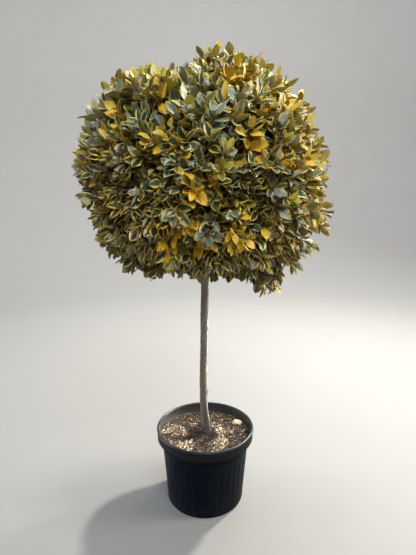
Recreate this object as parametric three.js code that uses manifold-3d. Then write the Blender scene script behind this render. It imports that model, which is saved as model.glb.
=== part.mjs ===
// A half standard elaeagnus in a black nursery pot: a clear stem under one round, dense head.
// Millimetres, +Z up, with the origin at the middle of the pot's flat underside.
import * as THREE from "three";
import { mergeVertices } from "three/addons/utils/BufferGeometryUtils.js";
import Module from "manifold-3d";

const wasm = await Module();
wasm.setup();

const gap = 0.3; // between pieces that rest on each other

// Pot: a tapered tub with a rolled lip and a deep skirt that hangs from it, filled with compost
const potHeight = 358;
const rimRadius = 228;
const rimRoll = 6.5; // radius of the rolled lip
const skirtDepth = 50; // from the top to the skirt's lower edge
const skirtRadius = 225;
const skirtEdge = 1.2; // how far its lower edge is rounded
const mouthRadius = 213; // inside of the wall behind the skirt
const stepRise = 6; // the wall steps out to the mouth, just behind the skirt's lower edge
const stepLift = 2; // the step's inside lies this much above its outside
const bodyTopRadius = 205;
const bodyFootRadius = 181;
const baseRadius = 173;
const baseCorner = 20; // height of the rounded corner above the ground
const wall = 3;
const floor = 5;
const potSides = 36;
const skirtFoot = potHeight - skirtDepth;
const stepFoot = skirtFoot - 1;
const compostEdge = stepFoot + stepLift + stepRise; // height of the compost at the wall
const compostMiddle = 323; // and round the stem
const compostSeat = 44; // radius of the level patch under the stem
const compostLumps = { height: 3.5, long: 21, short: 11 };

// Stem: height, sideways place and radius at each station, from the compost to the fork
const stemFoot = compostMiddle + gap;
const forkHeight = 1262;
const stemStations = [
  { z: stemFoot, x: 10, y: 0, radius: 24 },
  { z: 347, x: 6, y: 0, radius: 20 },
  { z: 440, x: -5, y: 1, radius: 18.5 },
  { z: 580, x: -8, y: 2, radius: 17.6 },
  { z: 760, x: -5, y: 1, radius: 17.2 },
  { z: 1020, x: 0, y: 0, radius: 17.4 },
  { z: 1120, x: 1, y: 0, radius: 19 },
  { z: 1200, x: 0, y: 0, radius: 16 },
  { z: forkHeight, x: 0, y: 0, radius: 11 },
];
const stemMesh = { sides: 10, steps: 17, footShare: 0.35 }; // shorter steps at the flared foot
const stemRibs = { count: 3, depth: 0.035, twist: 90 };

// Head: a rounded crown, measured to its leaf tips
const crownCentre = new THREE.Vector3(-16, 0, 1500);
const crownReach = new THREE.Vector3(522, 522, 480);
const shoulder = 0.05; // how much squarer than an egg shape, at 45 degrees up and down
// Where the outline swells out of that shape or falls short of it
const lobes = [
  { azimuth: 332, elevation: -54, spread: 14, swell: 0.2 },
  { azimuth: 341, elevation: -21, spread: 20, swell: 0.13 },
  { azimuth: 244, elevation: 67, spread: 22, swell: -0.17 },
  { azimuth: 317, elevation: 78, spread: 17, swell: 0.14 },
  { azimuth: 306, elevation: -84, spread: 26, swell: -0.17 },
  { azimuth: 196, elevation: -21, spread: 14, swell: -0.05 },
  { azimuth: 232, elevation: 43, spread: 13, swell: 0.05 },
  { azimuth: 130, elevation: -20, spread: 24, swell: 0.04 },
  { azimuth: 55, elevation: 25, spread: 22, swell: 0.04 },
];
// Masses of foliage stand in rings; elevations are in degrees seen from the crown's centre
const rings = [
  { name: "low", count: 5, elevation: -40, turn: 0, entry: -54, forks: 1085, rise: 18, arch: 0.14 },
  { name: "middle", count: 6, elevation: 2, turn: 18, entry: -12, forks: 1130, rise: 24, arch: 0.1 },
  { name: "high", count: 4, elevation: 45, turn: 36, entry: 36, forks: 1188, rise: 22, arch: -0.08 },
  { name: "top", count: 1, elevation: 88, turn: 0, entry: 88, forks: 0, rise: 0, arch: 0 },
];
const massGap = 2; // kept clear on each side of the walls between masses
const limbGap = 3; // kept clear round every limb

// Shares of the way from the crown's centre to its outline
const entryShare = 0.5; // a bough ends here
const coreInner = 0.56;
const coreMiddle = 0.63;
const coreOuter = 0.75;
const twigShare = 0.84; // a twig ends here
const tipShare = 1.03; // no leaf passes here

const coreMesh = { around: 12, rings: 4, droop: 0.14, fill: 0.99, lump: 0.05 };
const bough = { rootRadius: 9.5, tipRadius: 5.5, sides: 6, steps: 4 };
const massStem = { rootRadius: 5, tipRadius: 3.5, sides: 5, steps: 2, tipShare: 0.71, bend: 0.4 };
const twig = { rootRadius: 3.6, tipRadius: 2.2, sides: 3, steps: 2, count: 130, bow: 14 };
const twigStarts = { from: 0.62, range: 0.34 }; // along the mass's stem
const twigEnding = { from: -0.03, range: 0.05 }; // beyond the twig's share of the outline
const leaf = { length: 112, width: 64, fold: 7, sink: 0.8, droop: 0.12 };
const leafPlaces = { perTwig: 5, from: 0.68, step: 0.075, last: 0.98, turnStep: 2.4 };
const leafSpread = { last: 0.25, wide: 1.05, close: 0.75 }; // radians from the twig
const leafSize = { from: 0.9, range: 0.18, shrink: 0.03 }; // less at each new try
const leafTries = 8;
const meshTolerance = 0.3;
const seed = 20417;

const colours = {
  pot: { color: 0x1b1e22, roughness: 0.48, metalness: 0 },
  compost: { color: 0x6b5643, roughness: 0.95, metalness: 0 },
  bark: { color: 0x6a6257, roughness: 0.9, metalness: 0 },
  foliage: { color: 0x6f6a34, roughness: 0.6, metalness: 0 },
};

// A seeded stream of numbers from 0 to 1
function randomStream(start) {
  let state = start >>> 0;
  return () => {
    state = (state + 0x6d2b79f5) >>> 0;
    let t = Math.imul(state ^ (state >>> 15), 1 | state);
    t = (t + Math.imul(t ^ (t >>> 7), 61 | t)) ^ t;
    return ((t ^ (t >>> 14)) >>> 0) / 4294967296;
  };
}

function directionOf(azimuth, elevation) {
  const a = THREE.MathUtils.degToRad(azimuth);
  const e = THREE.MathUtils.degToRad(elevation);
  return new THREE.Vector3(Math.cos(a) * Math.cos(e), Math.sin(a) * Math.cos(e), Math.sin(e));
}

// A closed mesh as a solid, and a solid as a mesh's geometry
function solidOf(geometry) {
  const bare = new THREE.BufferGeometry();
  bare.setAttribute("position", geometry.getAttribute("position").clone());
  if (geometry.index) bare.setIndex(geometry.index);
  const merged = mergeVertices(bare, 1e-3);
  return new wasm.Manifold(
    new wasm.Mesh({
      numProp: 3,
      vertProperties: new Float32Array(merged.attributes.position.array),
      triVerts: new Uint32Array(merged.index.array),
    }),
  );
}

function geometryOf(solid) {
  const mesh = solid.getMesh();
  const geometry = new THREE.BufferGeometry();
  geometry.setAttribute("position", new THREE.BufferAttribute(mesh.vertProperties, 3));
  geometry.setIndex(new THREE.BufferAttribute(mesh.triVerts, 1));
  return geometry;
}

// The largest body of a solid, without its sealed hollows and loose scraps
function mainBody(solid) {
  return solid.decompose().reduce((best, body) => (body.volume() > best.volume() ? body : best));
}

// A round tube of changing radius along a curve, closed at both ends
function limbGeometry(curve, radiusAt, sides, steps) {
  const geometry = new THREE.CylinderGeometry(1, 1, 1, sides, steps);
  const frames = curve.computeFrenetFrames(steps, false);
  const position = geometry.getAttribute("position");
  for (let i = 0; i < position.count; i++) {
    const step = Math.round((position.getY(i) + 0.5) * steps);
    const radius = radiusAt(step / steps);
    const point = curve.getPointAt(step / steps);
    point.addScaledVector(frames.binormals[step], radius * position.getX(i));
    point.addScaledVector(frames.normals[step], radius * position.getZ(i));
    position.setXYZ(i, point.x, point.y, point.z);
  }
  return geometry;
}

// A point on the straight stretches that a limb's mesh follows
function axisPoint(curve, steps, share) {
  const points = curve.getSpacedPoints(steps);
  const step = Math.min(Math.floor(share * steps), steps - 1);
  return points[step].clone().lerp(points[step + 1], share * steps - step);
}

function taper(from, to) {
  return (share) => THREE.MathUtils.lerp(from, to, share);
}

// Outer radius of the pot's wall at a height between its corner and its step
function bodyRadius(z) {
  return THREE.MathUtils.mapLinear(z, baseCorner, stepFoot, bodyFootRadius, bodyTopRadius);
}

function lathe(profile) {
  const points = profile.map(([radius, z]) => new THREE.Vector2(radius, z));
  return new THREE.LatheGeometry(points, potSides).rotateX(Math.PI / 2);
}

function potGeometry() {
  const lipMiddle = potHeight - rimRoll;
  const lipRadius = rimRadius - rimRoll;
  const lip = [0, 45, 90, 135, 180].map((degrees) => {
    const a = THREE.MathUtils.degToRad(degrees);
    return [lipRadius + rimRoll * Math.cos(a), lipMiddle + rimRoll * Math.sin(a)];
  });
  const cornerTop = bodyRadius(baseCorner);
  return lathe([
    [0, 0],
    [baseRadius, 0],
    [baseRadius + 0.7 * (cornerTop - baseRadius), 0.3 * baseCorner],
    [cornerTop, baseCorner],
    [bodyTopRadius, stepFoot],
    [mouthRadius + wall, stepFoot + stepRise],
    [mouthRadius + wall + 1, lipMiddle - rimRoll],
    [skirtRadius - wall, lipMiddle - rimRoll],
    [skirtRadius - wall, skirtFoot],
    [skirtRadius - skirtEdge, skirtFoot],
    [skirtRadius, skirtFoot + skirtEdge],
    ...lip,
    [mouthRadius, compostEdge],
    [bodyTopRadius - wall, stepFoot + stepLift],
    [bodyRadius(baseCorner + floor) - wall, baseCorner + floor],
    [baseRadius - wall, floor],
    [0, floor],
  ]);
}

// Height of the compost's rough top above its smooth slope
function roughness(x, y) {
  const far = Math.hypot(x, y);
  const fade = THREE.MathUtils.smoothstep(far, compostSeat, 2 * compostSeat);
  const { height, long, short } = compostLumps;
  return height * fade * (Math.sin(x / long + 1) * Math.cos(y / long) + 0.6 * Math.sin((x + y) / short));
}

function compostGeometry() {
  const edge = mouthRadius - 2 * gap;
  const cornerZ = baseCorner + floor;
  const geometry = lathe([
    [0, floor + gap],
    [baseRadius - wall - 2 * gap, floor + gap],
    [bodyRadius(cornerZ) - wall - 2 * gap, cornerZ],
    [bodyTopRadius - wall - 2 * gap, stepFoot + stepLift],
    [edge, compostEdge],
    [0.84 * edge, compostEdge + 2],
    [0.62 * edge, compostEdge + 4],
    [0.42 * edge, compostMiddle - 2],
    [compostSeat, compostMiddle],
    [0, compostMiddle],
  ]);
  const position = geometry.getAttribute("position");
  for (let i = 0; i < position.count; i++) {
    const [x, y, z] = [position.getX(i), position.getY(i), position.getZ(i)];
    if (z > compostEdge + 1) position.setZ(i, z + roughness(x, y));
  }
  return geometry;
}

function stemRadius(z) {
  const above = stemStations.findIndex((station) => station.z >= z - 1e-6);
  const [low, high] = [stemStations[Math.max(above, 1) - 1], stemStations[Math.max(above, 1)]];
  return THREE.MathUtils.mapLinear(z, low.z, high.z, low.radius, high.radius);
}

// The stem is cut level at its foot, so its sections stay level too
function stemGeometry(extra) {
  const path = new THREE.CatmullRomCurve3(stemStations.map((s) => new THREE.Vector3(s.x, s.y, s.z)));
  const geometry = new THREE.CylinderGeometry(1, 1, 1, stemMesh.sides, stemMesh.steps);
  const position = geometry.getAttribute("position");
  for (let i = 0; i < position.count; i++) {
    const share = position.getY(i) + 0.5;
    const centre = path.getPoint(share * THREE.MathUtils.lerp(stemMesh.footShare, 1, share));
    const [x, y] = [position.getZ(i), position.getX(i)];
    const rib = stemRibs.depth * Math.sin(stemRibs.count * Math.atan2(y, x) + centre.z / stemRibs.twist);
    const radius = (extra + stemRadius(centre.z)) * (1 + rib * Math.hypot(x, y));
    position.setXYZ(i, centre.x + radius * x, centre.y + radius * y, centre.z);
  }
  return geometry;
}

// Share of the crown's reach that the leaf tips come to in a direction
function outline(direction) {
  const level = Math.hypot(direction.x, direction.y);
  const squared = 1 + shoulder * (2 * direction.z * level) ** 2;
  return lobes.reduce((reach, lobe) => {
    const away = THREE.MathUtils.radToDeg(direction.angleTo(directionOf(lobe.azimuth, lobe.elevation)));
    return reach + lobe.swell * Math.exp(-((away / lobe.spread) ** 2));
  }, squared);
}

function onCrown(direction, share) {
  return direction
    .clone()
    .multiplyScalar(share * outline(direction))
    .multiply(crownReach)
    .add(crownCentre);
}

// A point in the crown's own measure, where the egg shape is a ball of radius 1
function inBall(point) {
  return point.clone().sub(crownCentre).divide(crownReach);
}

function massesOf() {
  return rings.flatMap((ring) =>
    Array.from({ length: ring.count }, (_, i) => {
      const azimuth = ring.turn + (360 * i) / ring.count;
      return {
        name: ring.count > 1 ? `${ring.name}_${i + 1}` : ring.name,
        direction: directionOf(azimuth, ring.elevation),
        entry: onCrown(directionOf(azimuth, ring.entry), entryShare),
        forks: ring.forks + (i % 2) * ring.rise,
        arch: ring.arch,
      };
    }),
  );
}

// A bough leaves the stem's axis, climbs, and bends over towards its mass
function boughCurve(mass) {
  if (!mass.forks) {
    const foot = new THREE.Vector3(0, 0, forkHeight + gap);
    const bend = foot.clone().lerp(mass.entry, 0.5).setX(0);
    return new THREE.QuadraticBezierCurve3(foot, bend, mass.entry);
  }
  const foot = new THREE.Vector3(0, 0, mass.forks);
  const bend = foot.clone().lerp(mass.entry, 0.5);
  bend.z += mass.arch * foot.distanceTo(mass.entry);
  return new THREE.QuadraticBezierCurve3(foot, bend, mass.entry);
}

function boughSolid(mass, extra) {
  const { rootRadius, tipRadius, sides, steps } = bough;
  const radiusAt = taper(rootRadius + extra, tipRadius + extra);
  return solidOf(limbGeometry(boughCurve(mass), radiusAt, sides, steps));
}

// The wall between two masses passes through the crown's centre, square to this, towards the first
function wallNormal(mass, other) {
  return mass.direction.clone().sub(other.direction).divide(crownReach).normalize();
}

function roomToWall(mass, other, point) {
  return point.clone().sub(crownCentre).dot(wallNormal(mass, other)) - massGap;
}

// Inside the crown's outline and on this mass's side of every wall between masses
function insideSpace(mass, others, point) {
  const ball = inBall(point);
  if (ball.length() > tipShare * outline(ball.clone().normalize())) return false;
  return others.every((other) => roomToWall(mass, other, point) > 0);
}

// How far a ray from inside goes before it meets a ball-measure radius, or Infinity
function rayToShell(start, step, radius) {
  const a = inBall(start);
  const b = step.clone().divide(crownReach);
  const [p, q, r] = [b.dot(b), a.dot(b), a.dot(a) - radius * radius];
  const root = q * q - p * r;
  if (root < 0) return Infinity;
  const found = [(-q - Math.sqrt(root)) / p, (-q + Math.sqrt(root)) / p].filter((t) => t > 0);
  return found.length ? Math.min(...found) : Infinity;
}

// The dense heart of a mass: a lumpy cushion that follows the crown's curve up to its walls
function coreSolid(mass, others, random) {
  const middle = onCrown(mass.direction, coreMiddle);
  const swell = outline(mass.direction);
  const geometry = new THREE.SphereGeometry(1, coreMesh.around, coreMesh.rings);
  const turn = new THREE.Quaternion().setFromUnitVectors(new THREE.Vector3(0, 1, 0), mass.direction);
  const lumps = new Map();
  const position = geometry.getAttribute("position");
  for (let i = 0; i < position.count; i++) {
    const step = new THREE.Vector3().fromBufferAttribute(position, i).applyQuaternion(turn);
    step.addScaledVector(mass.direction, -coreMesh.droop).normalize();
    const key = step.toArray().map((v) => Math.round(v * 100)).join();
    if (!lumps.has(key)) lumps.set(key, 1 - coreMesh.lump * random());
    let far = Math.min(
      rayToShell(middle, step, coreOuter * swell),
      rayToShell(middle, step, coreInner * swell),
    );
    for (const other of others) {
      const towards = -step.dot(wallNormal(mass, other));
      if (towards > 0) far = Math.min(far, (coreMesh.fill * roomToWall(mass, other, middle)) / towards);
    }
    step.multiplyScalar(far * lumps.get(key)).add(middle);
    position.setXYZ(i, step.x, step.y, step.z);
  }
  return solidOf(geometry);
}

// Six corners: the sunk root, two along each edge and the tip, below a shallow fold
function leafCorners(root, along, up, size) {
  const side = new THREE.Vector3().crossVectors(up, along);
  const [length, width] = [leaf.length * size, leaf.width * size];
  const at = (a, s, u) =>
    root.clone().addScaledVector(along, a).addScaledVector(side, s).addScaledVector(up, u);
  return [
    at(-leaf.sink, 0, 0),
    at(0.34 * length, -0.47 * width, leaf.fold),
    at(0.7 * length, -0.43 * width, leaf.fold),
    at(length, 0, -0.5 * leaf.fold),
    at(0.7 * length, 0.43 * width, leaf.fold),
    at(0.34 * length, 0.47 * width, leaf.fold),
  ];
}

// Four faces over the blade and four under it, meeting at a keel from root to tip
const leafFaces = [0, 1, 5, 1, 2, 5, 2, 4, 5, 2, 3, 4, 0, 3, 1, 1, 3, 2, 0, 5, 3, 3, 5, 4];

function leafSolid(corners) {
  const geometry = new THREE.BufferGeometry().setFromPoints(corners);
  geometry.setIndex(leafFaces);
  return solidOf(geometry);
}

// A leaf stands out from its twig by an angle, turned about the twig, its face to the light
function leafPose(tangent, outward, spread, turn) {
  const first = new THREE.Vector3().crossVectors(tangent, new THREE.Vector3(0.3, 0.2, 1)).normalize();
  const across = first.applyAxisAngle(tangent, turn);
  const along = tangent.clone().multiplyScalar(Math.cos(spread)).addScaledVector(across, Math.sin(spread));
  along.z -= leaf.droop;
  along.normalize();
  const light = outward.clone().add(new THREE.Vector3(0, 0, 0.6));
  const up = light.addScaledVector(along, -light.dot(along)).normalize();
  return { along, up };
}

// Twig ends lie evenly over the crown, on a spiral of even steps in height
function twigEnds() {
  const golden = Math.PI * (3 - Math.sqrt(5));
  return Array.from({ length: twig.count }, (_, i) => {
    const z = 1 - (2 * i + 1) / twig.count;
    const flat = Math.sqrt(1 - z * z);
    return new THREE.Vector3(flat * Math.cos(golden * i), flat * Math.sin(golden * i), z);
  });
}

function nearestMass(masses, direction) {
  const closeness = (mass) => mass.direction.dot(direction);
  return masses.reduce((best, mass) => (closeness(mass) > closeness(best) ? mass : best));
}

// The stem of a mass grows on from its bough's tip into the core
function massStemCurve(mass) {
  const heading = boughCurve(mass).getTangentAt(1);
  const foot = mass.entry.clone().addScaledVector(heading, gap);
  const tip = onCrown(mass.direction, massStem.tipShare);
  const bend = foot.clone().addScaledVector(heading, massStem.bend * foot.distanceTo(tip));
  return new THREE.QuadraticBezierCurve3(foot, bend, tip);
}

// A twig runs from the mass's stem to its own place under the outline, clear of the walls
function twigCurve(mass, others, stemCurve, direction, random) {
  const start = axisPoint(stemCurve, massStem.steps, twigStarts.from + twigStarts.range * random());
  const end = onCrown(direction, twigShare + twigEnding.from + twigEnding.range * random());
  const bend = start.clone().lerp(end, 0.5).addScaledVector(mass.direction, twig.bow);
  const inside = [start, bend, end].every((point) => insideSpace(mass, others, point));
  return inside ? new THREE.QuadraticBezierCurve3(start, bend, end) : null;
}

// Leaves along a twig, each turned about it until it has room
function addLeaves(grown, curve, direction, fits, random) {
  const firstTurn = 2 * Math.PI * random();
  for (let k = 0; k < leafPlaces.perTwig; k++) {
    const last = k === leafPlaces.perTwig - 1;
    const station = last ? leafPlaces.last : leafPlaces.from + leafPlaces.step * k;
    const root = axisPoint(curve, twig.steps, station);
    const tangent = curve.getTangentAt(station);
    const size = leafSize.from + leafSize.range * random();
    for (let tries = 0; tries < leafTries; tries++) {
      const turn = firstTurn + leafPlaces.turnStep * k + (tries * 2 * Math.PI) / leafTries;
      const lateral = tries % 2 ? leafSpread.close : leafSpread.wide;
      const { along, up } = leafPose(tangent, direction, last ? leafSpread.last : lateral, turn);
      const corners = leafCorners(root, along, up, size * (1 - leafSize.shrink * tries));
      if (!fits(corners)) continue;
      grown.push(leafSolid(corners));
      break;
    }
  }
}

function touches(solid, others) {
  return others.some((other) => !solid.intersect(other).isEmpty());
}

// One mass: a stem, a core, and twigs whose leaves stand out to the outline
function massSolid(mass, others, ends, limbsCleared, random) {
  const stemCurve = massStemCurve(mass);
  const stemTaper = taper(massStem.rootRadius, massStem.tipRadius);
  const stem = solidOf(limbGeometry(stemCurve, stemTaper, massStem.sides, massStem.steps));
  const core = coreSolid(mass, others, random).subtract(limbsCleared);

  const twigs = [];
  for (const direction of ends) {
    const curve = twigCurve(mass, others, stemCurve, direction, random);
    if (!curve) continue;
    const radiusAt = taper(twig.rootRadius, twig.tipRadius);
    const solid = solidOf(limbGeometry(curve, radiusAt, twig.sides, twig.steps));
    if (!touches(solid, [limbsCleared])) twigs.push({ curve, direction, solid });
  }
  const leaves = [];
  for (const own of twigs) {
    const obstacles = [limbsCleared, core, ...twigs.filter((t) => t !== own).map((t) => t.solid)];
    const fits = (corners) =>
      corners.slice(1).every((point) => insideSpace(mass, others, point)) &&
      !touches(leafSolid(corners), [...obstacles, ...leaves]);
    addLeaves(leaves, own.curve, own.direction, fits, random);
  }
  const parts = [core, stem, ...twigs.map((t) => t.solid), ...leaves];
  return mainBody(wasm.Manifold.union(parts)).asOriginal().simplify(meshTolerance);
}

function named(name, geometry, colour) {
  const mesh = new THREE.Mesh(geometry, new THREE.MeshStandardMaterial(colours[colour]));
  mesh.name = name;
  return mesh;
}

const plant = new THREE.Group();
plant.add(named("pot", potGeometry(), "pot"));
plant.add(named("compost", compostGeometry(), "compost"));
plant.add(named("stem", stemGeometry(0), "bark"));

const masses = massesOf();
const stemCleared = solidOf(stemGeometry(gap));
masses.forEach((mass) => {
  const limb = mainBody(boughSolid(mass, 0).subtract(stemCleared));
  plant.add(named(`bough_${mass.name}`, geometryOf(limb), "bark"));
});

const thickStem = solidOf(stemGeometry(limbGap));
const limbsCleared = masses.reduce((all, mass) => all.add(boughSolid(mass, limbGap)), thickStem);
const random = randomStream(seed);
const ends = twigEnds();
masses.forEach((mass) => {
  const others = masses.filter((other) => other !== mass);
  const own = ends.filter((direction) => nearestMass(masses, direction) === mass);
  const solid = massSolid(mass, others, own, limbsCleared, random);
  plant.add(named(`foliage_${mass.name}`, geometryOf(solid), "foliage"));
});

export default plant;
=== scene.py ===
import itertools
import math
import random

import bpy
import numpy as np
from mathutils import Matrix, Vector, noise


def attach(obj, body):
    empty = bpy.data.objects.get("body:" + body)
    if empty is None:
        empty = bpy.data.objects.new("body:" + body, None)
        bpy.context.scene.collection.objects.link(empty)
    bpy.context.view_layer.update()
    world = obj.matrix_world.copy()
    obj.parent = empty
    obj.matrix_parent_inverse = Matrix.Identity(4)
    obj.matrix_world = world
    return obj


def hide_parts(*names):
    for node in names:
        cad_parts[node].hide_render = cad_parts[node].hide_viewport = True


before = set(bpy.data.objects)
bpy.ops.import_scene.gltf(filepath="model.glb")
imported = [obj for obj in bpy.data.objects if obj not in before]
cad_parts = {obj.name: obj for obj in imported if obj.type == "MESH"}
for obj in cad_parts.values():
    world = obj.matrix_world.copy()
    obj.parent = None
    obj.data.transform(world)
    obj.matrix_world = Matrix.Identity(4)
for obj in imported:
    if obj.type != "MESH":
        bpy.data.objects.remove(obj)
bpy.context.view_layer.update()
print("frame loaded with", len(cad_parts), "solids")

mm = 0.001
upwards = Vector((0, 0, 1))


# Colours are written as they look on a screen, 0 to 255, and turned into light here
def light(*colour):
    shares = [value / 255 for value in colour]
    return (*[s / 12.92 if s <= 0.04045 else ((s + 0.055) / 1.055) ** 2.4 for s in shares], 1)


def paintsOf(**colours):
    return [(name, light(*colour)) for name, colour in colours.items()]


def between(low, high, share):
    return low + (high - low) * share


def smoothStep(value, low, high):
    share = np.clip((value - low) / (high - low), 0, 1)
    return share * share * (3 - 2 * share)


def directionOf(azimuth, elevation):
    a, e = math.radians(azimuth), math.radians(elevation)
    return Vector((math.cos(a) * math.cos(e), math.sin(a) * math.cos(e), math.sin(e)))


def addObject(name, data):
    made = bpy.data.objects.new(name, data)
    bpy.context.scene.collection.objects.link(made)
    return made


# An object with one mesh of triangles
def newShape(name, points, corners, materials, smooth=True):
    mesh = bpy.data.meshes.new(name)
    mesh.from_pydata(points.tolist(), [], corners.tolist())
    mesh.polygons.foreach_set("use_smooth", np.full(len(corners), smooth))
    for material in materials:
        mesh.materials.append(material)
    return addObject(name, mesh)


# One piece of many small shapes, each with its points and its triangles
def makePiece(name, shapes, materials, nodes, looks=0, layout=None, smooth=True):
    starts = np.cumsum([0] + [len(points) for points, _ in shapes])
    points = np.concatenate([points for points, _ in shapes])
    corners = np.concatenate([np.array(corners) + start for (_, corners), start in zip(shapes, starts)])
    piece = newShape(name, points, corners, materials, smooth)
    looks = np.broadcast_to(looks, len(corners)).astype(np.int32)
    piece.data.polygons.foreach_set("material_index", looks)
    if layout is not None:
        spots = layout[corners.ravel()].astype(np.float32)
        piece.data.uv_layers.new(name="bladeLayout").data.foreach_set("uv", spots.ravel())
    piece.data.validate()
    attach(piece, "root")
    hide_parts(*nodes)
    print(name, "has", len(corners), "triangles")


# Materials: one shader each, with helpers for the nodes that feed its colour, roughness and bump
def newMaterial(name, colour, roughness, shine):
    material = bpy.data.materials.new(name)
    material.use_nodes = True
    shader = material.node_tree.nodes["Principled BSDF"]
    shader.inputs["Base Color"].default_value = colour
    shader.inputs["Roughness"].default_value = roughness
    shader.inputs["Specular IOR Level"].default_value = shine
    return material, shader


# A node's input takes another node's result or a fixed value
def feed(value, target):
    if isinstance(value, bpy.types.NodeSocket):
        target.id_data.links.new(value, target)
    else:
        target.default_value = value


# A node in the same tree as another one or its socket, with its inputs by place or by name
def addNode(beside, kind, settings, *inputs, **named):
    node = beside.id_data.nodes.new("ShaderNode" + kind)
    for name, value in settings.items():
        setattr(node, name, value)
    for key, value in [*enumerate(inputs), *named.items()]:
        feed(value, node.inputs[key])
    return node.outputs


def addPlace(shader):
    return addNode(shader, "TexCoord", {})["Object"]


# Noise in the object's own coordinates, stretched where a grain runs one way
def addNoise(shader, size, stretch=(1, 1, 1), detail=4, rough=0.55):
    place = addNode(shader, "Mapping", {}, Vector=addPlace(shader), Scale=stretch)["Vector"]
    look = {"Scale": 1 / size, "Detail": detail, "Roughness": rough}
    return addNode(shader, "TexNoise", {}, place, **look)["Fac"]


def addHeight(shader):
    return addNode(shader, "SeparateXYZ", {}, addPlace(shader))["Z"]


# Distance from the pot's middle line
def addReach(shader):
    flat = addNode(shader, "VectorMath", {"operation": "MULTIPLY"}, addPlace(shader), (1, 1, 0))
    return addNode(shader, "VectorMath", {"operation": "LENGTH"}, flat["Vector"])["Value"]


def addRamp(value, stops):
    outputs = addNode(value, "ValToRGB", {}, value)
    marks = outputs["Color"].node.color_ramp.elements
    while len(marks) < len(stops):
        marks.new(0.5)
    for mark, (place, colour) in zip(marks, stops):
        mark.position = place
        mark.color = colour
    return outputs["Color"]


# A value that goes from low to high while another goes from start to end
def addRange(value, low, high, start=0.3, end=0.7):
    return addNode(value, "MapRange", {}, value, start, end, low, high)["Result"]


def addMaths(operation, first, second=0):
    return addNode(first, "Math", {"operation": operation}, first, second)["Value"]


def addMix(share, first, second):
    mixed = addNode(share, "Mix", {"data_type": "RGBA"}, share)[2]
    feed(first, mixed.node.inputs[6])
    feed(second, mixed.node.inputs[7])
    return mixed


def addBump(shader, heights, depth, strength):
    bump = addNode(shader, "Bump", {}, Strength=strength, Distance=depth, Height=heights)
    feed(bump["Normal"], shader.inputs["Normal"])


# Two directions across a limb at each point of its path, which turn as little as they can
def limbFrames(path):
    headings = np.gradient(path, axis=0)
    headings /= np.linalg.norm(headings, axis=1)[:, None]
    side = np.cross(headings[0], np.eye(3)[np.argmin(abs(headings[0]))])
    sides = []
    for heading in headings:
        side = side - heading * (side @ heading)
        side = side / np.linalg.norm(side)
        sides.append(side)
    return np.array(sides), np.cross(headings, sides)


def tubeCorners(rings, sides):
    k, j = np.meshgrid(np.arange(rings - 1), np.arange(sides), indexing="ij")
    a, b = k * sides + j, k * sides + (j + 1) % sides
    walls = np.stack([a, b, b + sides, a, b + sides, a + sides], axis=-1).reshape(-1, 3)
    foot, tip, turn = rings * sides, rings * sides + 1, np.arange(sides)
    last = (rings - 1) * sides
    footCap = np.stack([np.full(sides, foot), (turn + 1) % sides, turn], axis=-1)
    tipCap = np.stack([np.full(sides, tip), last + turn, last + (turn + 1) % sides], axis=-1)
    return np.concatenate([walls, footCap, tipCap])


# A round limb along a path of points, closed at both ends, with rings that are level or square to the path
def tubeShape(path, radii, sides, relief=None, level=False):
    path, turns = np.asarray(path, float), np.arange(sides) * 2 * math.pi / sides
    first, second = (np.eye(3)[:1], np.eye(3)[1:2]) if level else limbFrames(path)
    radii = np.broadcast_to(np.asarray(radii, float)[:, None], (len(path), sides))
    if relief:
        radii = radii + relief(path, turns)
    rings = first[:, None] * np.cos(turns)[None, :, None] + second[:, None] * np.sin(turns)[None, :, None]
    points = (path[:, None] + rings * radii[:, :, None]).reshape(-1, 3)
    return np.concatenate([points, [path[0], path[-1]]]), tubeCorners(len(path), sides)


# A turned shape from an outline of radius and height that starts and ends on the middle line
def turnedShape(profile, sides, relief=None):
    path = np.array([(0, 0, z) for _, z in profile])
    points, corners = tubeShape(path[1:-1], [r for r, _ in profile[1:-1]], sides, relief, level=True)
    points[-2:] = path[0], path[-1]
    return points, corners


# A curve of one bend, as the part's source uses for every limb
def curvePoint(curve, share):
    start, bend, end = curve
    return start * (1 - share) ** 2 + bend * (2 * share * (1 - share)) + end * share**2


def curveHeading(curve, share):
    start, bend, end = curve
    return ((bend - start) * (1 - share) + (end - bend) * share).normalized()


def curvePath(curve, steps):
    return np.array([curvePoint(curve, i / steps) for i in range(steps + 1)])


# The crown's shape and its masses, with the numbers of the part's source in metres
crown = {
    "centre": Vector((-0.016, 0, 1.5)),
    "reach": Vector((0.522, 0.522, 0.48)),
    "shoulder": 0.05,  # how much squarer than an egg, at 45 degrees up and down
    # azimuth, elevation, spread in degrees, and how far the outline swells there
    "lobes": [
        (332, -54, 14, 0.2), (341, -21, 20, 0.13), (244, 67, 22, -0.17), (317, 78, 17, 0.14),
        (306, -84, 26, -0.17), (196, -21, 14, -0.05), (232, 43, 13, 0.05), (130, -20, 24, 0.04),
        (55, 25, 22, 0.04),
    ],
    # name, masses, elevation, first azimuth, elevation of the boughs' ends, fork height, rise, arch
    "rings": [
        ("low", 5, -40, 0, -54, 1.085, 0.018, 0.14),
        ("middle", 6, 2, 18, -12, 1.130, 0.024, 0.1),
        ("high", 4, 45, 36, 36, 1.188, 0.022, -0.08),
        ("top", 1, 88, 0, 88, 0, 0, 0),
    ],
    "forkHeight": 1.262,
    "entryShare": 0.5,  # of the way from the centre to the outline
    "stemTipShare": 0.71,
    "stemBend": 0.4,
}


def outlineShare(direction):
    level = math.hypot(direction.x, direction.y)
    share = 1 + crown["shoulder"] * (2 * direction.z * level) ** 2
    for azimuth, elevation, spread, swell in crown["lobes"]:
        away = math.degrees(direction.angle(directionOf(azimuth, elevation)))
        share += swell * math.exp(-((away / spread) ** 2))
    return share


def onCrown(direction, share):
    scaled = direction * (share * outlineShare(direction))
    return crown["centre"] + scaled * crown["reach"]


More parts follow.
